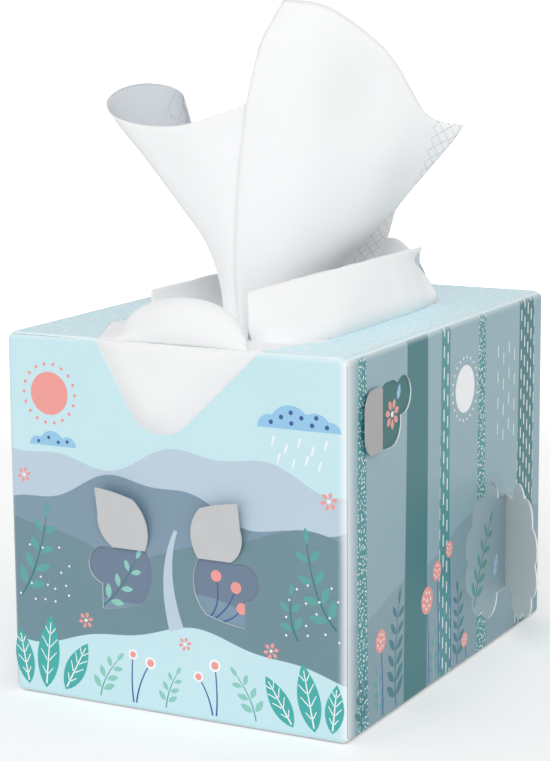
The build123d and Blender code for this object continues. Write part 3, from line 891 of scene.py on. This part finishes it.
def pulled_sheet(face, reverse):
    """The tissue pulled up: a wing with a curled end, a ridge, a wide sail and its turned-back edge."""
    ridge = [(3, -38, 117), (1.9, -38.2, 136), (2.2, -38, 156), (4, -37.6, 176), (6.8, -36.6, 193)]
    wing = [
        curl_rib((-3.4, -38), 0.7, 117, 0, (-1.5, -38.6, 117), ridge[0]),
        curl_rib((-4.7, -36.6), 1.6, 134, 0.6, (-2.4, -38.6, 134.5), ridge[1]),
        curl_rib((-9.4, -35.6), 3.6, 149, 1.6, (-5.6, -39.6, 148), (-1.6, -39.4, 151), ridge[2]),
        curl_rib((-21.6, -34), 7.8, 168.5, 3.4, (-15, -42, 165.4), (-5.5, -41.2, 168), ridge[3]),
        curl_rib((-36.6, -31), 13, 190.8, 5.7, (-28, -44.2, 184.2), (-17, -43.8, 184.7),
                 (-6.5, -42.2, 187.4), (1.5, -39.6, 190.4), ridge[4]),
    ]
    sail = [
        [ridge[0], (3.2, -40.6, 117), (4.5, -40.2, 117), (10, -26, 117), (11, -6, 117), (6, 20, 117)],
        [ridge[1], (1.8, -40.8, 138), (4.5, -40.8, 138), (16, -28, 137), (19.5, -7, 135), (9, 20.5, 132.6)],
        [ridge[2], (2.4, -40.9, 160), (6, -40.6, 160), (21, -27.5, 158), (28.5, -3, 151), (20, 22, 144)],
        [ridge[3], (4.4, -40.6, 180), (8.5, -39.4, 180), (24.6, -25.5, 179), (36.4, -2, 171),
         (34.6, 24, 160.2)],
        [ridge[4], (6.2, -39.4, 195), (10, -38, 196), (26, -23, 196), (39, 1, 184), (44.6, 23, 170.8)],
        [(9.8, -30.6, 211.5), (8.3, -33.4, 212), (12, -32, 212), (25, -20, 210), (38.6, -2, 197),
         (50.6, 22.2, 177.2)],
        [(10.4, -21.4, 222.6), (9.6, -22.4, 223.4), (12.6, -20.6, 223.8), (24.2, -15, 220.8),
         (38.2, -2.5, 206.6), (44, 10, 188.8), (46.6, 15.5, 184.4), (54.3, 22, 182.4)],
    ]
    behind = [
        [(6.2, 20.2, 117), (11, 27, 117.2), (17, 34, 117.4)],
        [(9, 20.5, 132.6), (13, 28, 133), (19.2, 33, 134.8)],
        [(20, 22, 144), (21.2, 27.5, 143.5), (23.6, 30.4, 145.4)],
        [(27, 23.2, 151.4), (26.4, 26.6, 151.4), (27.2, 28.4, 154)],
        [(34.6, 24, 160.2), (34, 24.6, 160), (33.6, 25.2, 160.2)],
    ]
    pieces = [
        sheet_piece("wing", loft(wing, 78, 48), ruffled(lambda u, v: 0.5 * v, 16, 3), 0, slipping(180, 14)),
        sheet_piece("sail", loft(sail, 72, 60), dented, -1, slipping(182, 22)),
        sheet_piece("behind", loft(behind, 16, 30), None, -1),
    ]
    return joined_sheet("pulled_tissue_sheet", pieces, face, reverse)


def dip_edges(depth):
    """The dip's left and right edges at a depth below the top."""
    left, right = MOUTH_LEFT + LEFT_SLOPE * depth, MOUTH_RIGHT - RIGHT_SLOPE * depth
    drop = depth - ROUND_DEPTH
    half = math.sqrt(max(DIP_RADIUS ** 2 - drop * drop, 0.0))
    if drop > DIP_RADIUS * math.sin(LEFT_LEAN):
        left = ROUND_X - half
    if drop > DIP_RADIUS * math.sin(RIGHT_LEAN):
        right = ROUND_X + half
    return left, right


def inside_dip(x, depth):
    """How far a point of the front wall's plane lies inside the dip's outline, in millimetres."""
    left_edge = Vector((DIP_X - MOUTH_LEFT, DIP_DEPTH)).normalized()
    right_edge = Vector((DIP_X - MOUTH_RIGHT, DIP_DEPTH)).normalized()
    off = Vector((x, depth)) - Vector((ROUND_X, ROUND_DEPTH))
    if off.dot(left_edge) > 0 and off.dot(right_edge) > 0:
        return DIP_RADIUS - off.length
    from_left = (x - MOUTH_LEFT) * left_edge.y - depth * left_edge.x
    from_right = (MOUTH_RIGHT - x) * right_edge.y + depth * right_edge.x
    return min(from_left, from_right)


def swell(x, depth, at_x, at_depth, wide, high):
    """A soft round swelling about a place of the dip, 1 at its middle."""
    return math.exp(-((x - at_x) / wide) ** 2 - ((depth - at_depth) / high) ** 2)


def pillow_point(u, v):
    """The bulge of tissue in the dip, tucked behind the board all round, up to the crease at its top."""
    behind, under = FRONT + BOARD + 1.4, 2.0
    depth = 0.4 + (DIP_LOWEST + under - 0.5) * math.sin(math.pi / 2 * v)
    left, right = dip_edges(min(depth, DIP_LOWEST - 0.25))
    x = left - under + (right - left + 2 * under) * u
    rim = min(1.0, max(0.0, inside_dip(x, depth) + under) / 13.0)
    belly = rim * (2 - rim) * (0.75 + 0.25 * min(1.0, depth / 6) ** 0.5)
    humps = 0.8 * swell(x, depth, -10, 24, 9, 8) + 0.4 * swell(x, depth, 1, 15, 7, 7)
    valley = 0.8 * swell(x, depth, -12, 7, 7, 5)
    return Vector((x, behind - belly * (4.7 + humps - valley), TOP - depth))


def pillow_rows():
    """The pillow in the dip, its upper edge rolled over and tucked in."""
    rows = grid(64, shares(56), pillow_point)
    tuck = [Vector((p.x, p.y + 7.0, p.z - 0.3)) for p in rows[0]]
    roll = [Vector((p.x, p.y + 1.0, p.z + 0.15)) for p in rows[0]]
    return ([tuck, roll] + rows)[::-1]


def tongue_point(u, cut):
    """The tongue of tissue that stands over the front edge like a half dome; its cut is at its middle."""
    middle, half, seam = 2.2, 24.2, -79.0
    side = 2 * u - 1
    full = math.sqrt(max(1 - abs(side) ** (1.9 if side < 0 else 2.3), 0.0))
    rounding = (5.5 if side < 0 else 3.0) * abs(side) ** 2.4 * min(1.0, max(0.0, cut.z) / 6)
    hollow = 1.4 * math.exp(-((side + 0.5) / 0.28) ** 2) * max(0.0, cut.z / 13)
    back = (cut.y - seam) * (0.15 + 0.85 * full) + hollow + rounding
    x = middle + half * side - 0.5 * max(0.0, back) * max(0.0, side)
    return Vector((x, seam + back, TOP - 0.1 + cut.z * (full if cut.z > 0 else 1.0)))


def tongue_rows():
    middle_cut = smooth([
        (0, -77.4, -0.7), (0, -79.2, 0.1), (0, -80.7, 2.2), (0, -81.2, 5.4), (0, -79.8, 9.6),
        (0, -77.2, 12.5), (0, -74.0, 13.7), (0, -70.6, 12.6), (0, -68.0, 7.5), (0, -67.0, -1.6),
    ], 40)
    return grid(64, middle_cut, tongue_point)


def level_rows():
    """The sheet's level part in the opening, turned down at the rim and where the pulled sheet rises."""
    slit = smooth([
        (-4.5, -38.2, 0), (2.5, -40.4, 0), (8, -24, 0), (8.5, -4, 0), (6.1, 20, 0), (17, 34, 0),
    ], 90)
    fold_line = FRONT + FOLD

    def level_point(u, v):
        y = fold_line + 0.4 + (RIM_BACK - fold_line - 1.2) * v
        share = min(1.0, (y - fold_line) / (RIM_TURN - fold_line))
        pull = 8 * max(0.0, (y - RIM_END) / (RIM_BACK - RIM_END))
        left = MOUTH_LEFT + (-RIM - MOUTH_LEFT) * share + pull
        right = MOUTH_RIGHT + (RIM - MOUTH_RIGHT) * share - pull
        x = left - 0.4 + (right - left + 0.8) * u
        edge = min(u, 1 - u) * (right - left)
        near = min((x - p.x) ** 2 + (y - p.y) ** 2 for p in slit)
        sag = 0.9 * min(1.0, 3 * v) * math.sin(math.pi * u)
        groove = (1.4 - sag * 0.4) * math.exp(-near / 2.2)
        return Vector((x, y, TOP - 0.15 - 0.7 * math.exp(-edge / 0.8) - sag - groove))

    return grid(64, shares(80), level_point)


def right_roll_rows():
    """The lip over the right rim: it bulges at the rim, leans in and stands upright to its top edge."""
    ribs = [
        [(18.4, -61.6, 118.4), (26, -63.4, 118.4), (32.4, -58.6, 118.5), (37.6, -50.5, 118.6),
         (39.3, -40, 118.6), (39.4, -8, 118.7), (39.3, 14, 118.7), (38, 34, 118.8)],
        [(18.7, -62.1, 120.5), (26.6, -64.4, 120.5), (33.4, -59.6, 120.6), (38.8, -51, 120.7),
         (40.8, -40, 120.8), (41, -8, 120.9), (40.9, 14, 120.9), (38.6, 34, 120.6)],
        [(17.4, -61.6, 123.6), (25.6, -62.6, 123.6), (32.8, -58, 123.7), (38.6, -49.4, 123.8),
         (41.2, -38, 123.9), (41.6, -8, 124), (41.3, 14, 123.9), (39.4, 34.2, 123.3)],
        [(16.3, -60, 127.6), (23.6, -57.6, 127.6), (30.2, -52, 127.8), (35.8, -43.6, 128),
         (38.8, -34, 128.2), (39.8, -8, 128.4), (39.5, 14, 128.2), (36.4, 34.2, 127.8)],
        [(15.9, -59, 130.8), (21.8, -53.6, 131.2), (27.8, -46.2, 131.6), (33, -37.6, 132),
         (36, -28, 132.2), (37.6, -6, 132.4), (37.4, 14, 132.3), (34, 34, 131)],
        [(15.7, -58.4, 132.4), (21, -50, 133.6), (26.4, -41.4, 134.8), (31.4, -31, 135.4),
         (34.2, -20, 135.6), (35.6, -4, 135.8), (35.4, 14, 135.8), (32.7, 34, 134.8)],
        [(15.6, -58, 133.4), (20.5, -47, 135.3), (25.7, -36.5, 136.9), (31, -22, 138.3), (33.6, -4, 139),
         (33.9, 14, 139.1), (33.9, 34, 138.9)],
        [(15.2, -57.4, 133), (20, -46.2, 134.8), (25, -35.7, 136.3), (30.2, -21.6, 137.6),
         (32.8, -4, 138.3), (33.1, 14, 138.4), (33.3, 33.4, 138)],
        [(15.2, -57.6, 119.2), (19.8, -45.4, 122.6), (25, -34.8, 125.6), (30.6, -22, 127.2),
         (33.4, -5, 127.8), (33.8, 12, 127.8), (33.8, 32.6, 127.4)],
    ]
    return loft(ribs, 116, 60)


def left_roll_rows():
    """The lower lip inside the left rim: it curves up from the level part and falls to the rim outside."""
    ribs = [
        [(-20, -38, 118.6), (-20, -16, 118.6), (-19.5, 4, 118.6), (-21, 30, 118.6)],
        [(-26, -38.2, 119.6), (-25.2, -16, 119.6), (-24, 4, 119.6), (-26, 31, 119.4)],
        [(-29.6, -38.2, 122.2), (-28.4, -16, 122.2), (-26.6, 2, 122.2), (-29, 32, 121.6)],
        [(-31.3, -38.1, 126), (-29.4, -16, 126.4), (-26.9, 0, 126.8), (-29.6, 32, 124.6)],
        [(-31.8, -38, 129.3), (-29.8, -18, 130), (-26.9, -3, 130.7), (-28.6, 12, 128.6), (-30, 32, 127)],
        [(-32.8, -36, 128.9), (-31, -17, 129.4), (-28.6, -2, 129.9), (-30.4, 13, 128), (-31, 32, 126.6)],
        [(-36.4, -29.2, 124.4), (-36, -14, 124.8), (-35.6, 2, 125), (-35.6, 33, 123.6)],
        [(-39.2, -23.6, 121.1), (-40.5, -10, 121.2), (-40.3, 6, 121.2), (-38.4, 36, 120.9)],
        [(-38.7, -24.4, 118.5), (-39.3, -10, 118.6), (-39.2, 6, 118.6), (-37.8, 36, 118.6)],
    ]
    return loft(ribs, 90, 54)


def back_roll_rows():
    """The lip along the short back rim, which stands highest near its right end."""
    ribs = [
        [(28, 47, 117.6), (14, 49.4, 117.6), (-14, 49.4, 117.6), (-27, 45.5, 117.6)],
        [(29, 48, 121), (14, 50.8, 121), (-14, 50.6, 121), (-28.4, 46.6, 121)],
        [(29.2, 48.4, 127), (14, 51.6, 128), (-14, 51, 127), (-28.6, 47, 126)],
        [(27.4, 46.8, 132.4), (16, 49.4, 137.2), (-8, 48.6, 134), (-27.2, 44.8, 131)],
        [(25.4, 45.6, 135.2), (17, 46.4, 140), (2, 46, 138), (-25.4, 42.8, 133)],
        [(24.6, 44.6, 134.8), (16.6, 45.2, 139.2), (2, 44.8, 137.2), (-24.6, 41.8, 132.4)],
        [(24.4, 43.4, 126), (15.6, 44.2, 127), (2, 43.6, 127), (-24.4, 40.6, 125)],
    ]
    return loft(ribs, 80, 40)


def next_sheet(face, reverse):
    """The next tissue, bunched round the opening: level middle, three lips, tongue and pillow."""
    def right_strength(u, v):
        return math.sin(math.pi * min(1.0, v / 0.7)) * (0.4 + 4 * max(0.0, u - 0.88))

    pieces = [
        sheet_piece("level", level_rows(), ruffled(lambda u, v: 0.15, 8, 2)),
        sheet_piece("right_roll", right_roll_rows(), ruffled(right_strength, 10, 11)),
        sheet_piece("left_roll", left_roll_rows(), ruffled(lambda u, v: 0.25 * (1 - v), 12, 17)),
        sheet_piece("back_roll", back_roll_rows(), ruffled(lambda u, v: 0.9 * v, 11, 23)),
        sheet_piece("tongue", tongue_rows(), ruffled(lambda u, v: 0.25, 9, 29)),
        sheet_piece("pillow", pillow_rows()),
    ]
    return joined_sheet("next_tissue_sheet", pieces, face, reverse)


def studio():
    """A pale floor, soft light from the front left and above, and the photo's camera."""
    bpy.ops.mesh.primitive_circle_add(vertices=96, radius=6, fill_type="NGON", location=(0, 0, -0.2 * MM))
    floor = bpy.context.object
    floor.name = "studio_floor"
    white = Finish("studio_white", 0.9)
    x, y, _ = white.parts_of(white.spot)
    far = (x * x + y * y).of("SQRT").above(620, 300)
    glow = white.node("ShaderNodeLightPath", output="Is Camera Ray") * (far * 0.84 + 0.16)
    shine = white.node("ShaderNodeEmission", {}, {"Color": (1, 1, 1, 1), "Strength": glow})
    both = white.node("ShaderNodeAddShader", {}, (Wire(white, white.shader.outputs[0]), shine))
    white.feed(white.tree.nodes["Material Output"], {"Surface": both})
    floor.data.materials.append(white.done(STUDIO_WHITE))

    world = bpy.data.worlds.new("studio")
    bpy.context.scene.world = world
    world.use_nodes = True
    sky = Nodes(world.node_tree)
    seen = sky.node("ShaderNodeLightPath", output="Is Camera Ray")
    through = sky.node("ShaderNodeLightPath", output="Is Transmission Ray")
    strength = seen.of("MAXIMUM", through) * 0.4 + 0.6
    sky.feed(sky.tree.nodes["Background"], {"Color": (1, 1, 1, 1), "Strength": strength})

    key = bpy.data.lights.new("key", "SUN")
    key.energy, key.angle = 1.2, math.radians(35)
    lamp = added("key", key)
    lamp.rotation_mode = "QUATERNION"
    lamp.rotation_quaternion = Vector((0.34, -0.72, 0.60)).to_track_quat("Z", "Y")

    # The camera's place and directions were fitted to the box's corners in the photo
    camera = added("camera", bpy.data.cameras.new("camera"))
    right, up, ahead = (0.8848, 0.4659, -0.0071), (-0.0779, 0.1631, 0.9835), (-0.4594, 0.8697, -0.1806)
    turn = Matrix((right, up, -Vector(ahead))).transposed()
    camera.matrix_world = Matrix.Translation(Vector((342.4, -659.1, 231.9)) * MM) @ turn.to_4x4()
    camera.data.lens = 104.56
    bpy.context.scene.camera = camera


studio()
printed_sides()
cad_finishes()
motifs()

paper = tissue_finish("tissue_paper", TISSUE)
# The reverse finish is the same paper painted greyer, as shade on the sheets' far sides
inside = tissue_finish("tissue_reverse_painted_shade", TISSUE_REVERSE_PAINTED_SHADE)
for sheet, node in (
    (pulled_sheet(paper, inside), "pulled_tissue"),
    (next_sheet(paper, inside), "next_tissue"),
):
    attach(sheet, "root")
    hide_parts(node)

bpy.context.scene.view_settings.view_transform = "Standard"
